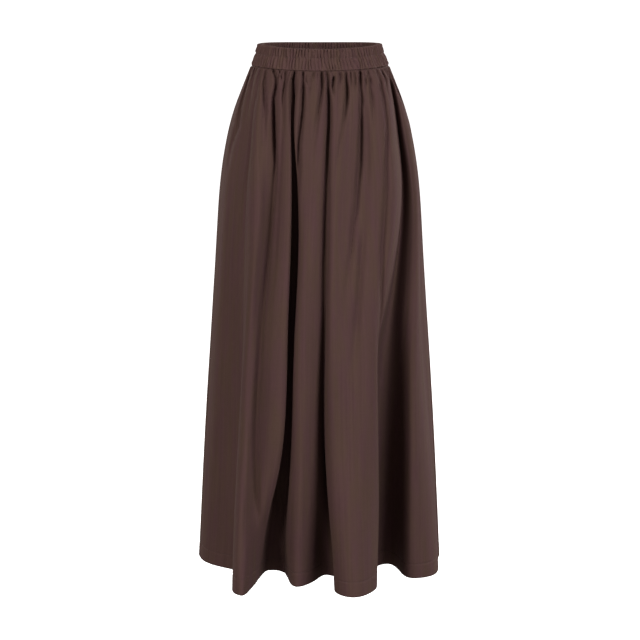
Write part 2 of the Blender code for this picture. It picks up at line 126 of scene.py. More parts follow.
# Gathers under the waist seam, each followed down its length in steps of: distance below the
# seam, angle, depth of the furrow and its half width. Most of these numbers were worked out by
# scratch programs from furrows picked on the photo, as report.md says.
FRONT_GATHERS = (
    (
        (0, 9, 4, 4), (15, 11, 7, 4.5), (36, 14, 9, 5), (55, 16.3, 9, 5.5), (78, 18.6, 9, 6),
        (106, 22, 8, 7.5), (144, 18.5, 6, 8), (200, 19, 0, 8),
    ),
    ((0, 22, 4, 4), (20, 24, 5, 4.5), (60, 28, 3, 5), (100, 30, 0, 5)),
    (
        (0, 32.6, 2.3, 3.3), (22, 35.2, 2.9, 4.4), (102, 39, 4, 5.5), (174, 41.8, 4.6, 5.5),
        (300, 41.3, 2.3, 6.6), (400, 42, 0, 6.6),
    ),
    (
        (0, 39.4, 4.6, 2.9), (21, 41.5, 7.5, 3.4), (35, 43.1, 10, 3.9), (52, 46.1, 10, 3.9),
        (73, 49.1, 7.5, 3.9), (100, 50.8, 4.6, 3.5), (136, 52.8, 2.9, 3.9), (190, 52.9, 0, 4.4),
    ),
    (
        (0, 48.2, 10, 3.1), (19, 53.2, 8.8, 3.4), (33, 54.1, 11.2, 3.9), (51, 53.9, 12.5, 4.2),
        (72, 55.7, 16.2, 4.4), (98, 57.7, 17.5, 4.7), (134, 59.8, 16.2, 4.9), (170, 61.4, 11.2, 5.2),
        (207, 60.6, 7.5, 5.9), (309, 58.6, 8, 5.5), (440, 56.4, 9.5, 6), (573, 56, 10, 6),
        (690, 55.9, 10, 6.5), (800, 56.6, 10, 7), (880, 56.5, 6, 8), (966, 57.3, 3.4, 9.9),
    ),
    ((0, 54.6, 4.6, 2.2), (18, 58.9, 3.4, 2.2), (40, 59, 0, 2.2)),
    (
        (0, 60.8, 8.8, 3.1), (18, 62.1, 10, 3.4), (32, 62.6, 10, 3.4), (50, 63.2, 7.5, 3.6),
        (71, 65.2, 4.6, 3.3), (97, 66.2, 3.4, 3.3), (170, 66.2, 2.9, 3.9), (307, 64.7, 2.3, 3.9),
        (400, 64.5, 0, 4.4),
    ),
    (
        (0, 69.3, 7.5, 3.1), (17, 68.1, 12.5, 3.4), (31, 68.8, 13.8, 3.4), (49, 70, 15, 3.6),
        (70, 71.3, 11.2, 3.9), (110, 72.3, 0, 3.3),
    ),
    (
        (0, 76, 7.5, 2.9), (16, 76.9, 7.5, 3.1), (30, 77.7, 13.8, 3.4), (48, 78.2, 15, 3.5),
        (70, 78.5, 14, 3.6), (97, 78.2, 14, 3.9), (133, 77.4, 13, 4.2), (169, 77.6, 12, 5),
        (215, 77.3, 4, 5), (250, 77, 0, 5),
    ),
    ((0, 78.8, 4, 2.1), (16, 78.8, 4.6, 2.1), (30, 81.4, 2.3, 2.2), (45, 81.8, 0, 2.2)),
    (
        (0, 84.8, 7.5, 2.6), (6, 84.3, 7.5, 2.6), (16, 83.4, 4.6, 2.2), (32, 82.2, 2.9, 2.2),
        (50, 81.8, 0, 2.2),
    ),
    (
        (0, 91.5, 10, 2.8), (16, 91.6, 11.2, 3), (30, 91.3, 11, 3.1), (48, 90.3, 10, 3.5),
        (69, 89.2, 9, 3.8), (96, 88.2, 6, 4), (140, 86.2, 2, 4), (180, 85, 0, 4),
    ),
    (
        (0, 95.5, 7.5, 2.6), (16, 96.2, 7.5, 2.9), (30, 96.2, 10, 3), (48, 96.6, 15, 3.2),
        (69, 96.6, 14, 3.4), (96, 96.4, 13, 3.4), (132, 95.4, 12, 3.4), (168, 94.8, 10, 3.6),
        (204, 94, 9, 3.8), (250, 93.3, 9, 4), (305, 92.7, 9, 4), (380, 92, 5, 4), (450, 91.5, 0, 4),
    ),
    (
        (0, 102, 4.6, 2.2), (8, 101.6, 5.8, 2.2), (16, 100.3, 12.5, 2.7), (30, 99.3, 8.8, 2.7),
        (48, 99.9, 1.1, 2.2), (60, 99.8, 0, 2.2),
    ),
    (
        (0, 106.5, 7.5, 2.7), (16, 105.8, 7.5, 2.9), (30, 103.7, 3.4, 2.5), (70, 102.2, 1.7, 2.8),
        (100, 101.7, 0, 3.3),
    ),
    (
        (0, 111.8, 8.8, 2.7), (17, 110.8, 11.2, 2.9), (31, 110.4, 13.8, 3.1), (49, 109.2, 15, 3.4),
        (70, 107.2, 10, 3.6), (97, 105, 4.6, 3.3), (132, 102.5, 3.4, 3.5), (168, 100.2, 2.3, 3.9),
        (220, 98.3, 0, 4.4),
    ),
    ((0, 116, 5.8, 2.1), (17, 114.9, 4.6, 2.1), (31, 114.2, 2.9, 2.2), (45, 113.4, 0, 2.2)),
    ((0, 119.4, 4.6, 2.1), (17, 119.2, 3.4, 2.1), (31, 117, 1.7, 2.2), (45, 116.5, 0, 2.2)),
    (
        (0, 125.2, 10, 2.9), (18, 123.3, 12.5, 3), (32, 122.2, 8.8, 3.2), (50, 121.6, 10, 3.6),
        (71, 119.4, 11, 3.9), (98, 118.1, 16, 4.2), (134, 116.5, 17, 5), (170, 115.1, 16, 5.5),
        (206, 113.2, 13, 6), (254, 111.5, 11, 6), (290, 109.2, 9, 5.5), (326, 108, 8, 5),
        (380, 105.5, 4, 5), (430, 104, 0, 5),
    ),
    (
        (50, 123, 0, 6), (75, 122.5, 6, 6), (125, 120.5, 9, 8), (185, 118.4, 8, 8), (250, 115, 5, 8),
        (310, 112, 0, 8),
    ),
    ((230, 118, 0, 6), (326, 114.1, 7, 6.5), (390, 112, 8, 6), (456, 109.8, 8, 6.5), (560, 106.5, 0, 7)),
    (
        (0, 133.4, 4.6, 2.2), (9, 132.1, 4.6, 2.2), (19, 128.4, 3.4, 2.3), (33, 126.7, 3.4, 2.4),
        (55, 125.5, 0, 2.6),
    ),
    (
        (8, 131.9, 0, 2.2), (19, 132.2, 7.5, 2.9), (33, 130.7, 7.5, 3.1), (51, 129.7, 7.5, 3.4),
        (72, 128.2, 4.6, 3.1), (120, 125.9, 0, 3.3),
    ),
    (
        (0, 143.5, 4.6, 2.6), (21, 141.4, 7.5, 3.4), (34, 139.2, 8.8, 3.6), (52, 138.7, 8.8, 3.9),
        (73, 137.4, 7.5, 4.2), (100, 136.1, 7.5, 4.2), (173, 130.8, 9, 5), (255, 128, 9, 5.5),
        (328, 125.5, 9, 6), (400, 125, 7, 6), (458, 125.4, 8, 6), (540, 126, 0, 7),
    ),
    ((0, 151, 5.8, 2.4), (22, 146.9, 5.8, 2.5), (35, 144.8, 3.4, 2.6), (60, 143.1, 0, 2.9)),
    ((0, 169, 4, 3.5), (24, 169, 7, 4), (55, 168.5, 6, 4), (90, 167.5, 0, 4)),
)
# The back's gathers, drawn by chance between these limits. Their course gives the share of a
# gather's depth that it has at each share of its length.
BACK_GATHERS = 29
BACK_GATHER_SEED = 4
BACK_GATHER_LENGTHS = (40, 260)
BACK_GATHER_DEPTHS = (6.0, 17.0)
BACK_GATHER_SPREADS = (2.4, 4.0)
BACK_GATHER_DRIFT = 4.0
BACK_GATHER_COURSE = ((0, 0.6), (0.15, 0.9), (0.35, 1.0), (0.65, 0.6), (1.0, 0.0))
# A back gather would be twice as wide after this many times its length.
BACK_GATHER_DOUBLES_OVER = 3
# How far a gather or pucker may stray from its even place, as a share of the space between two.
UNEVEN_SPACING = 0.4
# The seam holds every gather flat against the waistband, so furrows deepen just below it.
DEPTH_AT_SEAM = 1.3
FULL_DEPTH_BELOW = 5
# A gather is drawn in mostly straight from the front or the back, except near the side seams.
DRAWN_STRAIGHT = 0.75
DRAWN_STRAIGHT_BEYOND = 30

# The waist seam, which stands higher towards the sides.
SEAM_HEIGHT = -19.5
SIDE_RISE = 3.6
SIDE_RISE_FADES_BELOW = 90
# The waist hangs a little to the right of the hips.
WAIST_SHIFT = 1.6
WAIST_SHIFT_FADES_BELOW = 150

# How finely a panel is drawn: its columns, and the step between rows at each distance below the
# waist seam.
PANEL_COLUMNS = 346
ROW_STEPS = (
    ("fallen", "step"),
    (0, 1.0),
    (12, 1.2),
    (60, 3.2),
    (200, 9.0),
    (860, 16.0),
    (922, 5.0),
    (932, 1.5),
    (944, 1.5),
    (966, 2.8),
)
# Steps between two fold lines where the cloth's length between them is measured.
STEPS_BETWEEN_LINES = 8
CLOTH_THICKNESS = 0.7
# The hem, turned up and stitched. Its edge lies between these distances above the stitches.
HEM_THICKNESS = 1.5
HEM_TURN = 27.0
HEM_EDGE_FROM = 2.5
HEM_EDGE_TO = 1
HEM_STITCH_DEPTH = 0.7
HEM_STITCH_SPREAD = 1.3
HEM_STAND_OUT = 0.3
HEM_STAND_OUT_WITHIN = 3
HEM_PUCKER = 0.3
HEM_PUCKER_ACROSS = 10
HEM_PUCKER_DOWN = 45
HEM_PUCKER_ABOVE = 12
HEM_PUCKER_SEED = 7

# Fine puckers between the gathers, crowded under the waist seam.
PUCKERS = 130
PUCKER_SEED = 11
PUCKER_LENGTHS = (9.0, 55.0)
PUCKER_DEPTHS = (0.8, 5.6)
PUCKER_SPREADS = (1.3, 2.2)
PUCKER_MIDDLE_SHARE = 0.8

# Soft unevenness of the hanging cloth.
RIPPLES = (
    ("across", "down", "height"),
    (46.0, 420.0, 1.3),
    (19.0, 210.0, 0.55),
    (8.0, 90.0, 0.17),
)
RIPPLES_FULL_BELOW = 60
# Numbers that scatter the values at the corners of the noise's squares.
NOISE_SCATTER = (127.1, 311.7, 74.7)
NOISE_STRETCH = 43758.5453
SIDE_SEAM_DEPTH = 1.0
SIDE_SEAM_SPREAD = 1.8
# The ditch along the waist seam, deepest just below the cloth's top edge.
SEAM_DITCH_DEPTH = 2.5
SEAM_DITCH_BELOW = 1.2
SEAM_DITCH_SPREAD = 1.5

# The waistband: a casing shirred over its elastic, in two channels parted by a row of stitches.
BAND_OUTLINE = (
    ("height", "half_width", "half_depth"),
    (-19.2, 128.8, 94.2),
    (-14.5, 124.6, 91.9),
    (-8.0, 121.7, 89.9),
    (-1.0, 119.0, 87.6),
    (7.0, 115.7, 85.1),
    (13.0, 113.9, 83.5),
    (20.2, 111.9, 82.0),
)
# The band's length round is measured on this row of its outline.
BAND_MIDDLE_ROW = 4
BAND_TURN_STEPS = 4000
BAND_COLUMNS = 1180
BAND_WALL = 3.0
BAND_TOP = 20.2
BAND_FOOT = -19.2
FOOT_ROLL = 0.9
BAND_OUTER_ROWS = 38
BAND_INNER_ROWS = 18
BAND_ROLL_ROWS = 5
BAND_OUTER_SEED = 5
BAND_INNER_SEED = 31

# The band's gathers: ridges at an even pitch, lower where the foot and the channel seam hold them.
BAND_GATHER_PITCH = 6.1
BAND_GATHER_HEIGHT = 4.9
BAND_GATHER_ROUNDNESS = 0.9
UPPER_GATHER_SHARE = 1.25
INSIDE_GATHER_SHARE = 0.75
FOOT_HOLD = 0.7
FOOT_HOLD_HEIGHT = 5
CHANNEL_SEAM = 3.2
CHANNEL_SEAM_DEPTH = 0.45
CHANNEL_SEAM_SPREAD = 1.5
CHANNEL_HOLD = 0.22
CHANNEL_HOLD_REACH = 1.8
CHANNELS_MEET_WITHIN = 2
# How the ridges wander and vary, by noise round a circle of this radius. A size is the noise's
# own round the band, and a rise the height over which it changes.
BAND_NOISE = 17.0
BAND_SWAY = 1.3
BAND_SWAY_SIZE = 3
BAND_SWAY_RISE = 30
LOWER_SWAY = 1.4
LOWER_SWAY_SIZE = 2.1
LOWER_SWAY_RISE = 25
BAND_GATHER_LEAN = 0.06
RIDGE_MIDDLE = 0.62
RIDGE_VARIES = 0.38
RIDGE_CROWDING = 1.1
RIDGE_RISE = 14
# Finer ridges, which show in patches.
FINE_RIDGE_SHARE = 0.22
FINE_RIDGE_SWAY = 1.1
FINE_RIDGE_START = 0.9
PATCH_SIZE = 1.7
PATCH_START = 9
PATCH_RISE = 20
PATCH_EDGES = (-0.3, 0.5)

# Sewing thread. A stitch is blunt, and keeps this share of the thread's section at its ends.
STITCH_LENGTH = 2.3
STITCH_PITCH = 3.0
STITCH_RINGS = 5
STITCH_SIDES = 6
STITCH_BLUNTNESS = 4
STITCH_END_SHARE = 0.04
THREAD_THICKNESS = 0.42

# The cloth's colour, how light each cloth is of it, and its faint casts.
CLOTH_COLOUR = (0.078, 0.0431, 0.0386)
SKIRT_LIGHTNESS = 0.99
# Painted light: the band's cloth is lighter than the skirt's to make up for the shade its own ridges
# cast.
BAND_PAINTED_LIGHTNESS = 1.13
MAUVE_CAST = (1.01, 0.955, 1.085)
OLIVE_CAST = (0.99, 1.035, 0.94)
# What makes the cloth lighter and darker, by share, and the range this is spread to.
SLUB_TONE = 0.3
DYE_TONE = 0.2
# Painted shade: the cloth is darker in the gaps between the yarns' crowns.
YARN_GAP_SHADE = 0.2
STREAK_TONE = 0.3
TONE_RANGE = (0.84, 1.15)
NOISE_MIDDLE = (0.35, 0.65)
# Noises on the cloth: how each is stretched, its scale and, where given, its detail.
WARP_SLUBS = ((1, 0.05, 1), 900)
WEFT_SLUBS = ((0.05, 1, 1), 900)
DYE = ((1, 0.3, 1), 14, 3.0)
STREAKS = ((1, 0.02, 1), 230, 3.0)
CASTS = ((1, 0.16, 1), 60, 3.0)
# The weave. The pitch and depth are in metres.
YARN_PITCH = 0.00045
YARN_ROUNDNESS = 0.5
WEAVE_YARNS = 0.7
WEAVE_SLUBS = 0.6
WEAVE_STRENGTH = 0.35
WEAVE_DEPTH = 0.00012
CLOTH_ROUGHNESS = 0.82
ROUGHNESS_BETWEEN_YARNS = 0.90
YARN_POLISH = 0.12
CLOTH_SURFACE = {
    "Specular IOR Level": 0.08,
    "Sheen Weight": 0.02,
    "Sheen Roughness": 0.45,
    "Sheen Tint": (1.0, 0.86, 0.80, 1),
}

THREAD_COLOUR = (0.036, 0.020, 0.017)
THREAD_TONES = (0.75, 1.3)
THREAD_TWIST = ((1, 1, 1), 2600)
THREAD_TWIST_STRENGTH = 0.4
THREAD_TWIST_DEPTH = 0.0001
THREAD_ROUGHNESS = 0.6
THREAD_LEAST_ROUGHNESS = 0.5
THREAD_ROUGHNESS_RANGE = 0.2
THREAD_SHEEN = 0.2

# The studio: a white floor that sweeps up and over, softboxes, and the camera. Metres.
PAPER_COLOUR = (0.9, 0.9, 0.9)
PAPER_GRAIN_COLOUR = (0.93, 0.93, 0.93)
PAPER_GRAIN = ((1, 1, 1), 60)
PAPER_ROUGHNESS = 0.9
PAPER_GLOW = 1.0
PAPER_TURNS = 64
PAPER_PROFILE = (
    ("radius", "height"),
    (0.0, -1.4),
    (12.0, -1.4),
    (16.0, -1.0),
    (19.0, 1.5),
    (20.0, 6.0),
    (16.0, 14.0),
    (0.0, 18.0),
)
FILL_LIGHT = 0.23
FILL_COLOUR = (1.0, 0.92, 0.87)
SOFTBOXES = (
    ("name", "place", "size", "power", "colour"),
    ("right_softbox", (2.7, -3.0, 0.95), 1.9, 123.0, (1.0, 0.99, 0.99)),
    ("left_softbox", (-2.7, -3.0, 0.95), 1.9, 106.0, (1.0, 0.97, 0.91)),
    ("back_right_softbox", (3.2, 2.2, 0.8), 1.9, 115.0, (1.0, 0.98, 0.96)),
    ("back_left_softbox", (-2.7, 3.0, 1.0), 1.9, 70.0, (1.0, 0.97, 0.91)),
)
LIGHT_AIM = (0.0, 0.0, -0.52)
CAMERA_PLACE = (0.0015, -4.2, 0.355)
CAMERA_AIM = (0.0015, 0.0, -0.5075)
CAMERA_LENS = 124.96
CAMERA_SENSOR = 36


def spline(stations, values, where, period=None):
    """Cubic curves with no jump in curvature through rows of values, open or closed."""
    x, y = np.asarray(stations, float), np.asarray(values, float)
    count = len(x)
    if period:
        x, y = np.append(x, x[0] + period), np.vstack([y, y[:1]])
    step, rise = np.diff(x), np.diff(y, axis=0) / np.diff(x)[:, None]
    size = len(x)
    matrix, right = np.eye(size), np.zeros_like(y)
    for i in range(0 if period else 1, count if period else count - 1):
        before = (i - 1) % (size - 1)
        matrix[i, i] = 2 * (step[before] + step[i])
        matrix[i, before] += step[before]
        matrix[i, (i + 1) % (size - 1) if period else i + 1] += step[i]
        right[i] = 6 * (rise[i] - rise[before])
    if period:
        matrix[-1, 0] = -1
    bend = np.linalg.solve(matrix, right)
    where = np.asarray(where, float)
    if period:
        where = x[0] + (where - x[0]) % period
    i = np.clip(np.searchsorted(x, where, side="right") - 1, 0, len(step) - 1)
    t, h = (where - x[i])[:, None], step[i][:, None]
    slope = rise[i] - h * (2 * bend[i] + bend[i + 1]) / 6
    return y[i] + slope * t + bend[i] * t**2 / 2 + (bend[i + 1] - bend[i]) * t**3 / (6 * h)


def smooth(low, high, value):
    t = np.clip((value - low) / (high - low), 0, 1)
    return t * t * (3 - 2 * t)


def front_lines():
    """Angle and reach of each front fold line at every station."""
    for name, seam, *rest in FRONT_FOLDS[1:]:
        yield [(seam, 1.0)] + list(zip(rest[0::2], rest[1::2]))


def back_lines():
    """Angle and reach of each back valley and of the shoulders on both sides of it."""
    growth = np.array(list(FOLD_GROWTH.values()))
    for seam, hem, mouth, depth in BACK_FOLDS[1:]:
        angles = seam + (hem - seam) * growth
        half_mouth = BACK_MOUTH_AT_SEAM + (mouth - BACK_MOUTH_AT_SEAM) * growth
        crest = BACK_CREST * growth * np.sin(np.radians(angles)) ** 2
        yield list(zip(angles - half_mouth, 1 + crest))
        yield list(zip(angles, 1 - depth * growth))
        yield list(zip(angles + half_mouth, 1 + crest))


def side_line(angle):
    return [(angle, 1.0)] * len(STATIONS)


def all_lines():
    """Every fold line round the skirt, as an array of line by station by (angle, reach)."""
    return np.array([side_line(0), *front_lines(), side_line(180), *back_lines()], float)


LINES = all_lines()
FRONT_LINES = len(FRONT_FOLDS) - 1


def outline(height):
    """Half width, front depth and back depth of the smooth form at a height."""
    rows = np.array(OUTLINE[:0:-1])
    return spline(rows[:, 0], rows[:, 1:], [height])[0]


def ellipse(angle, height):
    """A point of the smooth form at an angle."""
    half_width, front, back = outline(height)
    turn = np.radians(angle)
    depth = np.where(np.sin(turn) >= 0, front, back)
    return np.stack([-half_width * np.cos(turn), -depth * np.sin(turn)], axis=-1)


def fold_ring(places, height):
    """Points of the folded ring at a height. A place counts fold lines, 0 at the left side."""
    stations = list(STATIONS.values())[::-1]
    rows = LINES[:, ::-1].transpose(1, 0, 2).reshape(len(stations), -1)
    angle, reach = spline(stations, rows, [height]).reshape(-1, 2).T
    knots = ellipse(angle, height) * reach[:, None]
    chord = np.linalg.norm(np.roll(knots, -1, axis=0) - knots, axis=1)
    along = np.concatenate([[0], np.cumsum(chord)])
    whole = np.floor(places).astype(int)
    where = along[whole] + (places - whole) * chord[whole % len(chord)]
    return spline(along[:-1], knots, where, period=along[-1])


def back_gathers():
    """The gathers of the back, in the steps of the front's table."""
    random = np.random.default_rng(BACK_GATHER_SEED)
    shortest, longest = BACK_GATHER_LENGTHS
    for i in range(BACK_GATHERS):
        stray = random.uniform(-UNEVEN_SPACING, UNEVEN_SPACING)
        angle = 180 + 180 * (i + 0.5 + stray) / BACK_GATHERS
        length = shortest * (longest / shortest) ** random.uniform(0, 1)
        depth, spread = random.uniform(*BACK_GATHER_DEPTHS), random.uniform(*BACK_GATHER_SPREADS)
        drift = BACK_GATHER_DRIFT * random.uniform(-1, 1) * length / longest
        yield [
            (length * t, angle + drift * t, depth * share, spread * (1 + t / BACK_GATHER_DOUBLES_OVER))
            for t, share in BACK_GATHER_COURSE
        ]


def puckers():
    """The fine puckers all round the waist, in the same steps."""
    random = np.random.default_rng(PUCKER_SEED)
    for i in range(PUCKERS):
        angle = 360 * (i + random.uniform(-UNEVEN_SPACING, UNEVEN_SPACING)) / PUCKERS
        length, depth = random.uniform(*PUCKER_LENGTHS), random.uniform(*PUCKER_DEPTHS)
        spread = random.uniform(*PUCKER_SPREADS)
        middle = (length / 2, angle, depth * PUCKER_MIDDLE_SHARE, spread)
        yield [(0, angle, depth, spread), middle, (length, angle, 0, spread)]


GATHERS = [np.array(steps, float).T for steps in (*FRONT_GATHERS, *back_gathers(), *puckers())]


def gather_depth(points, height):
    """How far the gathers draw the cloth in at points of one ring."""
    half_width, front, back = outline(height)
    depth = np.where(points[:, 1] <= 0, front, back)
    turn = np.arctan2(-points[:, 1] / depth, -points[:, 0] / half_width)
    angle = np.degrees(turn) % 360
    arc = np.radians(1) * np.hypot(half_width * np.sin(turn), depth * np.cos(turn))
    fallen = SEAM_HEIGHT - height
    total = np.zeros(len(points))
    for down, across, deep, spread in GATHERS:
        if down[0] <= fallen < down[-1]:
            aside = (angle - np.interp(fallen, down, across) + 180) % 360 - 180
            width = np.interp(fallen, down, spread)
            total += np.interp(fallen, down, deep) * np.exp(-((aside * arc / width) ** 2))
    at_seam = DEPTH_AT_SEAM * (1 - np.exp(-total / DEPTH_AT_SEAM))
    return at_seam + (total - at_seam) * smooth(0, FULL_DEPTH_BELOW, fallen)


def side_rise(cosine, height):
    """How much higher the waist seam stands towards the sides, fading out below it."""
    return SIDE_RISE * cosine**2 * (1 - smooth(0, SIDE_RISE_FADES_BELOW, SEAM_HEIGHT - height))


def skirt_ring(places, height):
    """Outer points of the skirt at a height, gathers included."""
    flat = fold_ring(places, height)
    half_width, front, back = outline(height)
    inward = -flat / np.array([half_width**2, ((front + back) / 2) ** 2])
    inward /= np.linalg.norm(inward, axis=1)[:, None]
    inward *= 1 - DRAWN_STRAIGHT
    inward[:, 1] += DRAWN_STRAIGHT * np.clip(-flat[:, 1] / DRAWN_STRAIGHT_BEYOND, -1, 1)
    inward /= np.linalg.norm(inward, axis=1)[:, None]
    flat = flat + inward * gather_depth(flat, height)[:, None]
    cosine = np.clip(flat[:, 0] / half_width, -1, 1)
    flat[:, 0] += WAIST_SHIFT * (1 - smooth(0, WAIST_SHIFT_FADES_BELOW, SEAM_HEIGHT - height))
    return np.column_stack([flat, height + side_rise(cosine, height)])


def noise(x, y, seed):
    """Smooth noise from -1 to 1 over a plane."""
    left, low = np.floor(x), np.floor(y)
    across, up = smooth(0, 1, x - left), smooth(0, 1, y - low)
    across_turn, up_turn, seed_turn = NOISE_SCATTER

    def corner(right, above):
        turn = (left + right) * across_turn + (low + above) * up_turn + seed * seed_turn
        whirl = np.sin(turn) * NOISE_STRETCH
        return 2 * (whirl - np.floor(whirl)) - 1

    lower = corner(0, 0) * (1 - across) + corner(1, 0) * across
    upper = corner(0, 1) * (1 - across) + corner(1, 1) * across
    return lower * (1 - up) + upper * up


def shell(name, sections, flat, closed):
    """Cloth as one closed body. Sections hold rows of points round its thickness, column by
    column, and flat the same points on the cloth before it was sewn."""
    sections, flat = sections.transpose(1, 0, 2), flat.transpose(1, 0, 2)
    columns, around = sections.shape[:2]
    column = np.arange(columns if closed else columns - 1)[:, None] * around
    after = (column + around) % (columns * around)
    k = np.arange(around)[None, :]
    ahead = (k + 1) % around
    faces = np.stack([column + k, column + ahead, after + ahead, after + k], axis=-1).reshape(-1, 4)
    if not closed:
        k = np.arange(around // 2 - 1)
        back = around - 1 - k
        left = np.stack([k + 1, k, back, back - 1], axis=-1)
        faces = np.concatenate([faces, left, left[:, ::-1] + (columns - 1) * around])
    mesh = bpy.data.meshes.new(name)
    mesh.from_pydata((sections.reshape(-1, 3) * MM).tolist(), [], faces.tolist())
    mesh.shade_smooth()
    cloth = mesh.attributes.new("cloth", "FLOAT_VECTOR", "POINT")
    cloth.data.foreach_set("vector", (flat * MM).astype(np.float32).ravel())
    piece = bpy.data.objects.new(name, mesh)
    bpy.context.scene.collection.objects.link(piece)
    return piece


def row_heights():
    """Heights of a panel's rows, closest at the waist seam and at the hem's stitches."""
    fallen, step = np.array(ROW_STEPS[1:]).T
    rows, whole = [0.0], SEAM_HEIGHT - STATIONS["hem"]
    while rows[-1] < whole:
        rows.append(rows[-1] + np.interp(rows[-1], fallen, step))
    return SEAM_HEIGHT - np.array(rows) * whole / rows[-1]


def panel_places(first, last):
    """Places of a panel's columns, spread as the cloth's length is between its fold lines."""
    lines = np.arange(first, last + 1)
    lengths = np.zeros(len(lines) - 1)
    for height in (STATIONS["yoke"], STATIONS["knee"], STATIONS["hem"]):
        ring = fold_ring(np.linspace(first, last, STEPS_BETWEEN_LINES * len(lengths) + 1), height)
        step = np.linalg.norm(np.diff(ring, axis=0), axis=1)
        between = step.reshape(-1, STEPS_BETWEEN_LINES).sum(axis=1)
        lengths += between / between.sum()
    along = np.append(0, np.cumsum(lengths))
    return np.interp(np.linspace(0, along[-1], PANEL_COLUMNS + 1), along, lines)


def normals(points):
    """Outward unit normals of a grid of points, rows down and columns round."""
    normal = np.cross(np.gradient(points, axis=1), np.gradient(points, axis=0))
    normal /= -np.linalg.norm(normal, axis=2)[:, :, None]
    return normal


def relief(across, fallen, width, seed):
    """How far the cloth stands out of its folds at places on the flat panel."""
    out = np.zeros(across.shape)
    for size_across, size_down, height in RIPPLES[1:]:
        seed += 1
        ripple = height * noise(across / size_across, fallen / size_down, seed)
        out += ripple * smooth(0, RIPPLES_FULL_BELOW, fallen)
    hem_line = SEAM_HEIGHT - STATIONS["hem"] - HEM_TURN
    out -= HEM_STITCH_DEPTH * np.exp(-(((fallen - hem_line) / HEM_STITCH_SPREAD) ** 2))
    out += HEM_STAND_OUT * smooth(hem_line, hem_line + HEM_STAND_OUT_WITHIN, fallen)
    pucker = noise(across / HEM_PUCKER_ACROSS, fallen / HEM_PUCKER_DOWN, seed + HEM_PUCKER_SEED)
    out += HEM_PUCKER * pucker * smooth(hem_line - HEM_PUCKER_ABOVE, hem_line, fallen)
    from_side = np.minimum(across, width - across)
    out -= SIDE_SEAM_DEPTH * np.exp(-((from_side / SIDE_SEAM_SPREAD) ** 2))
    return out - SEAM_DITCH_DEPTH * np.exp(-(((fallen - SEAM_DITCH_BELOW) / SEAM_DITCH_SPREAD) ** 2))


class Panel:
    """A panel's cloth: its outer points, their normals, and their places on the flat cloth."""

    def __init__(self, first, last, seed):
        columns, heights = panel_places(first, last), row_heights()
        folds = np.array([skirt_ring(columns, height) for height in heights])
        self.fallen = SEAM_HEIGHT - heights
        calf = folds[np.argmin(abs(heights - STATIONS["calf"]))]
        along = np.append(0, np.cumsum(np.linalg.norm(np.diff(calf, axis=0), axis=1)))
        across, fallen = np.meshgrid(along, self.fallen)
        self.out = normals(folds)
        for edge in (0, -1):
            side = np.sign(self.out[:, edge, 0])
            self.out[:, edge] = np.column_stack([side, 0 * side, 0 * side])
        self.outer = folds + self.out * relief(across, fallen, along[-1], seed)[:, :, None]
        self.places = np.stack([across, fallen, 0 * across], axis=-1)
        self.hem_line = self.fallen[-1] - HEM_TURN

    def piece(self, name):
        turned = smooth(self.hem_line - HEM_EDGE_FROM, self.hem_line - HEM_EDGE_TO, self.fallen)
        thickness = CLOTH_THICKNESS + (HEM_THICKNESS - CLOTH_THICKNESS) * turned
        inner = self.outer - self.out * thickness[:, None, None]
        sections = np.concatenate([self.outer, inner[::-1]])
        return shell(name, sections, np.concatenate([self.places, self.places[::-1]]), closed=False)

    def hem_stitches(self, name):
        row = np.argmin(abs(self.fallen - self.hem_line))
        return stitches(name, self.outer[row], self.out[row])


def stitches(name, points, out):
    """A row of short straight stitches lying along a line on the cloth."""
    along = np.append(0, np.cumsum(np.linalg.norm(np.diff(points, axis=0), axis=1)))
    starts = np.arange(STITCH_PITCH, along[-1] - STITCH_PITCH, STITCH_PITCH)
    rings = np.linspace(0, 1, STITCH_RINGS)
    turns = np.arange(STITCH_SIDES) * math.tau / STITCH_SIDES
    section = np.clip(1 - (2 * rings - 1) ** STITCH_BLUNTNESS, STITCH_END_SHARE, 1)
    radius = THREAD_THICKNESS / 2 * np.sqrt(section)
    where = starts[:, None] + rings * STITCH_LENGTH
    centre = np.stack([np.interp(where, along, points[:, i]) for i in range(3)], axis=-1)
    up = np.stack([np.interp(where, along, out[:, i]) for i in range(3)], axis=-1)
    side = np.cross(up, centre[:, -1:] - centre[:, :1])
    side /= np.linalg.norm(side, axis=2)[:, :, None]
    round_thread = np.cos(turns)[:, None] * side[:, :, None] + np.sin(turns)[:, None] * up[:, :, None]
    corners = centre[:, :, None] + radius[:, None, None] * round_thread
    stitch = STITCH_RINGS * STITCH_SIDES
    last_ring = stitch - STITCH_SIDES
    faces = []
    for base in range(0, len(starts) * stitch, stitch):
        for ring in range(base, base + last_ring, STITCH_SIDES):
            after = ring + STITCH_SIDES
            for t in range(STITCH_SIDES):
                ahead = (t + 1) % STITCH_SIDES
                faces.append((ring + t, ring + ahead, after + ahead, after + t))
        faces.append(tuple(range(base + STITCH_SIDES - 1, base - 1, -1)))
        faces.append(tuple(range(base + last_ring, base + stitch)))
    mesh = bpy.data.meshes.new(name)
    mesh.from_pydata((corners.reshape(-1, 3) * MM).tolist(), [], faces)
    mesh.shade_smooth()
    piece = bpy.data.objects.new(name, mesh)
    bpy.context.scene.collection.objects.link(piece)
    return piece


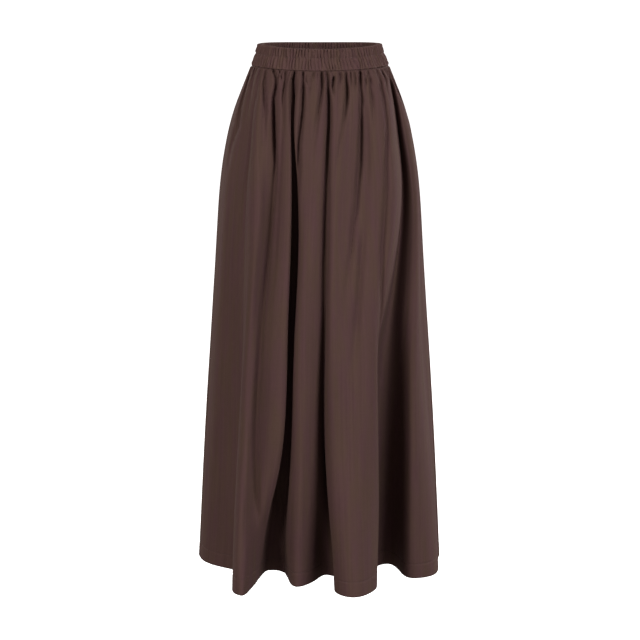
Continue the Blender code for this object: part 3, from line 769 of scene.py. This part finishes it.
def band_relief(along, height, length, seed):
    """How far the band's gathers stand out: round ridges with furrows between them."""
    pitch = length / round(length / BAND_GATHER_PITCH)
    above_seam = height - CHANNEL_SEAM
    below = 1 - smooth(CHANNEL_SEAM - CHANNELS_MEET_WITHIN, CHANNEL_SEAM + CHANNELS_MEET_WITHIN, height)
    turn = math.tau * along / length
    x, y = BAND_NOISE * np.cos(turn), BAND_NOISE * np.sin(turn)
    sway = BAND_SWAY * noise(x / BAND_SWAY_SIZE + height / BAND_SWAY_RISE, y / BAND_SWAY_SIZE, seed)
    lower = noise(x / LOWER_SWAY_SIZE, y / LOWER_SWAY_SIZE + height / LOWER_SWAY_RISE, seed + 1)
    sway += LOWER_SWAY * below * lower
    sway += BAND_GATHER_LEAN * below * above_seam
    wave = along / pitch + sway / math.pi
    gather = abs(np.sin(math.pi * wave)) ** BAND_GATHER_ROUNDNESS
    fine = abs(np.sin(math.tau * wave + FINE_RIDGE_SWAY * sway + FINE_RIDGE_START))
    varied = noise(RIDGE_CROWDING * x, RIDGE_CROWDING * y + height / RIDGE_RISE, seed + 2)
    uneven = RIDGE_MIDDLE + RIDGE_VARIES * varied
    patchy = noise(x / PATCH_SIZE + PATCH_START, y / PATCH_SIZE + height / PATCH_RISE, seed + 3)
    patch = smooth(*PATCH_EDGES, patchy)
    held = 1 - CHANNEL_HOLD * np.exp(-((above_seam / (CHANNEL_HOLD_REACH * CHANNEL_SEAM_SPREAD)) ** 2))
    held -= FOOT_HOLD * (1 - smooth(BAND_FOOT, BAND_FOOT + FOOT_HOLD_HEIGHT, height))
    held *= below + UPPER_GATHER_SHARE * (1 - below)
    out = BAND_GATHER_HEIGHT * held * (uneven * gather + FINE_RIDGE_SHARE * patch * fine)
    return out - CHANNEL_SEAM_DEPTH * np.exp(-((above_seam / CHANNEL_SEAM_SPREAD) ** 2))


class Waistband:
    """The shirred casing as a closed ring: outer face, rolled foot, inner face, rolled top."""

    def __init__(self):
        fine = np.linspace(0, math.tau, BAND_TURN_STEPS + 1)
        _, half_width, half_depth = BAND_OUTLINE[BAND_MIDDLE_ROW]
        step = np.hypot(half_width * np.sin(fine), half_depth * np.cos(fine)) * fine[1]
        along = np.append(0, np.cumsum((step[1:] + step[:-1]) / 2))
        self.length = along[-1]
        self.along = np.arange(BAND_COLUMNS) / BAND_COLUMNS * self.length
        self.turn = np.interp(self.along, along, fine)

    def ring(self, height, depth, face):
        """One row of points at a depth into the band, on its outer face (1) or inner face (-1)."""
        rows = np.array(BAND_OUTLINE[1:])
        half_width, half_depth = spline(rows[:, 0], rows[:, 1:], [height])[0]
        seed = BAND_OUTER_SEED if face > 0 else BAND_INNER_SEED
        out = face * band_relief(self.along, height, self.length, seed)
        out = out * (1 if face > 0 else INSIDE_GATHER_SHARE) - depth
        across = (half_width + out) * np.cos(self.turn)
        deep = (half_depth + out) * np.sin(self.turn)
        rise = SIDE_RISE * np.cos(self.turn) ** 2
        return np.column_stack([WAIST_SHIFT - across, -deep, height + rise])

    def piece(self, name):
        half = BAND_WALL / 2
        low, high = BAND_FOOT + FOOT_ROLL, BAND_TOP - half
        rows = [(height, 0, 1) for height in np.linspace(high, low, BAND_OUTER_ROWS)]
        roll = np.linspace(0, math.pi, BAND_ROLL_ROWS + 2)[1:-1]
        rows += [(low - FOOT_ROLL * np.sin(r), half - half * np.cos(r), np.cos(r)) for r in roll]
        rows += [(height, BAND_WALL, -1) for height in np.linspace(low, high, BAND_INNER_ROWS)]
        rows += [(high + half * np.sin(r), half + half * np.cos(r), -np.cos(r)) for r in roll]
        sections = np.array([self.ring(*row) for row in rows])
        ridged = np.linalg.norm(np.diff(sections[0], axis=0), axis=1).sum() / self.length
        down = np.cumsum(np.append(0, np.linalg.norm(np.diff(sections[:, 0], axis=0), axis=1)))
        across, down = np.meshgrid(self.along * ridged, down)
        return shell(name, sections, np.stack([across, down, 0 * down], axis=-1), closed=True)

    def channel_stitches(self, name):
        points = self.ring(CHANNEL_SEAM, 0, 1)
        out = np.column_stack([-np.cos(self.turn), -np.sin(self.turn), 0 * self.turn])
        return stitches(name, points, out)


class Value:
    """One output of a finish's nodes. Arithmetic on it adds the Math nodes that work it out."""

    def __init__(self, finish, socket):
        self.finish, self.socket = finish, socket

    def math(self, operation, *values):
        return self.finish.node("Math", {"operation": operation}, dict(enumerate(values)))

    def beside(self, output):
        """Another output of the same node."""
        return Value(self.finish, self.socket.node.outputs[output])

    def __add__(self, other):
        return self.math("ADD", self, other)

    def __rsub__(self, other):
        return self.math("SUBTRACT", other, self)

    def __mul__(self, other):
        return self.math("MULTIPLY", self, other)

    def __pow__(self, other):
        return self.math("POWER", self, other)

    def __gt__(self, other):
        return self.math("GREATER_THAN", self, other)

    def __abs__(self):
        return self.math("ABSOLUTE", self)

    def sine(self):
        return self.math("SINE", self)

    __radd__ = __add__
    __rmul__ = __mul__


class Finish:
    """A material and the nodes that give it its look."""

    def __init__(self, name, colour, roughness):
        self.material = bpy.data.materials.new(name)
        self.material.use_nodes = True
        self.material.diffuse_color = (*colour, 1)
        self.material.roughness = roughness
        self.nodes, self.links = self.material.node_tree.nodes, self.material.node_tree.links
        self.surface = self.nodes["Principled BSDF"]

    def node(self, kind, settings, inputs, output=0):
        """Adds a node: first its settings, then the values or links of its sockets."""
        made = self.nodes.new("ShaderNode" + kind)
        for setting, value in settings.items():
            setattr(made, setting, value)
        for socket, value in inputs.items():
            self.feed(made.inputs[socket], value)
        return Value(self, made.outputs[output])

    def feed(self, socket, value):
        if isinstance(value, Value):
            self.links.new(value.socket, socket)
        else:
            socket.default_value = value

    def noise(self, place, stretch, scale, detail=2.0):
        """Noise between 0 and 1, stretched along the cloth."""
        stretched = self.node("VectorMath", {"operation": "MULTIPLY"}, {0: place, 1: stretch})
        return self.node("TexNoise", {}, {"Vector": stretched, "Scale": scale, "Detail": detail})

    def spread(self, value, low, high, to_low=0.0, to_high=1.0):
        """A value stretched from one range to another and held inside it."""
        limits = {"From Min": low, "From Max": high, "To Min": to_low, "To Max": to_high}
        return self.node("MapRange", {}, {"Value": value, **limits})

    def tint(self, share, low, high):
        """A colour between two others."""
        return self.node("Mix", {"data_type": "RGBA"}, {0: share, 6: (*low, 1), 7: (*high, 1)}, 2)

    def bump(self, height, strength, distance):
        return self.node("Bump", {}, {"Height": height, "Strength": strength, "Distance": distance})


def scaled(colour, share):
    return tuple(share * part for part in colour)


def tinted(colour, cast):
    return tuple(part * share for part, share in zip(colour, cast))


def brown_cloth(name, lightness):
    """Plain-woven matte brown cloth: its yarns, their slubs, a soft unevenness of the dye and painted
    shade between the yarns.
    """
    finish = Finish(name, CLOTH_COLOUR, CLOTH_ROUGHNESS)
    place = finish.node("Attribute", {"attribute_name": "cloth"}, {}, "Vector")
    across = finish.node("SeparateXYZ", {}, {"Vector": place})
    down = across.beside("Y")
    warp_turn, weft_turn = across * (math.pi / YARN_PITCH), down * (math.pi / YARN_PITCH)
    warp, weft = abs(warp_turn.sine()), abs(weft_turn.sine())
    warp_over = (warp_turn.sine() * weft_turn.sine()) > 0.0
    warp_crown, weft_crown = warp**YARN_ROUNDNESS * weft, weft**YARN_ROUNDNESS * warp
    yarns = warp_over * warp_crown + (1 - warp_over) * weft_crown
    warp_slubs = finish.noise(place, *WARP_SLUBS)
    weft_slubs = finish.noise(place, *WEFT_SLUBS)
    slubs = 0.5 * warp_slubs + 0.5 * weft_slubs
    dye = finish.noise(place, *DYE)
    streaks = finish.noise(place, *STREAKS)
    # The yarns' share of the tone is painted shade, darker between their crowns.
    tone = SLUB_TONE * slubs + DYE_TONE * dye + YARN_GAP_SHADE * yarns + STREAK_TONE * streaks
    spread = finish.spread(tone, *NOISE_MIDDLE, *TONE_RANGE)
    cast = finish.spread(finish.noise(place, *CASTS), *NOISE_MIDDLE)
    colour = scaled(CLOTH_COLOUR, lightness)
    hue = finish.tint(cast, tinted(colour, MAUVE_CAST), tinted(colour, OLIVE_CAST))
    shade = finish.node("VectorMath", {"operation": "SCALE"}, {0: hue, "Scale": spread})
    finish.feed(finish.surface.inputs["Base Color"], shade)
    finish.feed(finish.surface.inputs["Roughness"], ROUGHNESS_BETWEEN_YARNS - YARN_POLISH * yarns)
    weave = WEAVE_YARNS * yarns + WEAVE_SLUBS * slubs
    finish.feed(finish.surface.inputs["Normal"], finish.bump(weave, WEAVE_STRENGTH, WEAVE_DEPTH))
    for socket, value in CLOTH_SURFACE.items():
        finish.surface.inputs[socket].default_value = value
    return finish.material


def sewing_thread():
    """Brown sewing thread with its twist."""
    finish = Finish("brown_thread", THREAD_COLOUR, THREAD_ROUGHNESS)
    place = finish.node("NewGeometry", {}, {}, "Position")
    twist = finish.noise(place, *THREAD_TWIST)
    dark, light = (scaled(THREAD_COLOUR, tone) for tone in THREAD_TONES)
    finish.feed(finish.surface.inputs["Base Color"], finish.tint(twist, dark, light))
    roughness = THREAD_LEAST_ROUGHNESS + THREAD_ROUGHNESS_RANGE * twist
    finish.feed(finish.surface.inputs["Roughness"], roughness)
    bump = finish.bump(twist, THREAD_TWIST_STRENGTH, THREAD_TWIST_DEPTH)
    finish.feed(finish.surface.inputs["Normal"], bump)
    finish.surface.inputs["Sheen Weight"].default_value = THREAD_SHEEN
    return finish.material


def white_paper():
    """White studio paper, lit so that it shows as plain white."""
    finish = Finish("white_paper", PAPER_COLOUR, PAPER_ROUGHNESS)
    place = finish.node("NewGeometry", {}, {}, "Position")
    grain = finish.noise(place, *PAPER_GRAIN)
    colour = finish.tint(grain, PAPER_COLOUR, PAPER_GRAIN_COLOUR)
    finish.feed(finish.surface.inputs["Base Color"], colour)
    finish.surface.inputs["Emission Color"].default_value = (1, 1, 1, 1)
    finish.surface.inputs["Emission Strength"].default_value = PAPER_GLOW
    return finish.material


def aim(thing, place, target):
    thing.location = place
    thing.rotation_euler = (Vector(target) - Vector(place)).to_track_quat("-Z", "Y").to_euler()
    bpy.context.scene.collection.objects.link(thing)


def studio_paper():
    """The white sweep. It is the background alone: it neither lights nor shades the skirt."""
    turns = np.arange(PAPER_TURNS) * math.tau / PAPER_TURNS
    rings = [[(r * np.cos(t), r * np.sin(t), z) for t in turns] for r, z in PAPER_PROFILE[1:]]
    corners = np.array(rings).reshape(-1, 3)
    ring, turn = np.meshgrid(np.arange(len(rings) - 1), np.arange(PAPER_TURNS), indexing="ij")
    a, b = ring * PAPER_TURNS + turn, ring * PAPER_TURNS + (turn + 1) % PAPER_TURNS
    faces = np.stack([a, a + PAPER_TURNS, b + PAPER_TURNS, b], axis=-1).reshape(-1, 4)
    mesh = bpy.data.meshes.new("studio_paper")
    mesh.from_pydata(corners.tolist(), [], faces.tolist())
    mesh.materials.append(white_paper())
    paper = bpy.data.objects.new("studio_paper", mesh)
    bpy.context.scene.collection.objects.link(paper)
    paper.visible_diffuse = paper.visible_glossy = paper.visible_shadow = False
    paper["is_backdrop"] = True


def studio():
    """Floor, soft light and the camera."""
    studio_paper()
    world = bpy.context.scene.world or bpy.data.worlds.new("studio")
    bpy.context.scene.world = world
    world.use_nodes = True
    background = world.node_tree.nodes["Background"]
    background.inputs["Color"].default_value = (*FILL_COLOUR, 1)
    background.inputs["Strength"].default_value = FILL_LIGHT
    for name, place, size, power, colour in SOFTBOXES[1:]:
        light = bpy.data.lights.new(name, "AREA")
        light.size, light.energy, light.color = size, power, colour
        aim(bpy.data.objects.new(name, light), place, LIGHT_AIM)
    camera = bpy.data.objects.new("camera", bpy.data.cameras.new("camera"))
    camera.data.lens = CAMERA_LENS
    camera.data.sensor_width = CAMERA_SENSOR
    aim(camera, CAMERA_PLACE, CAMERA_AIM)
    bpy.context.scene.camera = camera
    bpy.context.scene.view_settings.view_transform = "Standard"


studio()
skirt_cloth = brown_cloth("skirt_cloth", SKIRT_LIGHTNESS)
# The band's cloth is painted lighter to make up for the shade of its ridges.
band_cloth = brown_cloth("waistband_cloth", BAND_PAINTED_LIGHTNESS)
thread = sewing_thread()

side = FRONT_LINES + 1
front = Panel(0, side, seed=3)
back = Panel(side, len(LINES), seed=40)
band = Waistband()

pieces = (
    (front.piece("front_panel_cloth"), "front_panel", "skirt_cloth", skirt_cloth),
    (front.hem_stitches("front_hem_stitches"), None, "skirt_cloth", thread),
    (back.piece("back_panel_cloth"), "back_panel", "skirt_cloth", skirt_cloth),
    (back.hem_stitches("back_hem_stitches"), None, "skirt_cloth", thread),
    (band.piece("waistband_cloth"), "waistband", "waistband_cloth", band_cloth),
    (band.channel_stitches("waistband_stitches"), None, "waistband_cloth", thread),
)
for piece, node, slot, material in pieces:
    piece.data.materials.append(material)
    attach(piece, "root")
    if node:
        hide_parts(node)

# Each piece by its name. The panels flare from the waist to the hem, so they take less than
# their width by their length.
cloths = {piece.name: piece for piece, *_ in pieces}

boxes = {"cad": cad_box, "visual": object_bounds()}
{name: [list(low), list(high)] for name, (low, high) in boxes.items()}
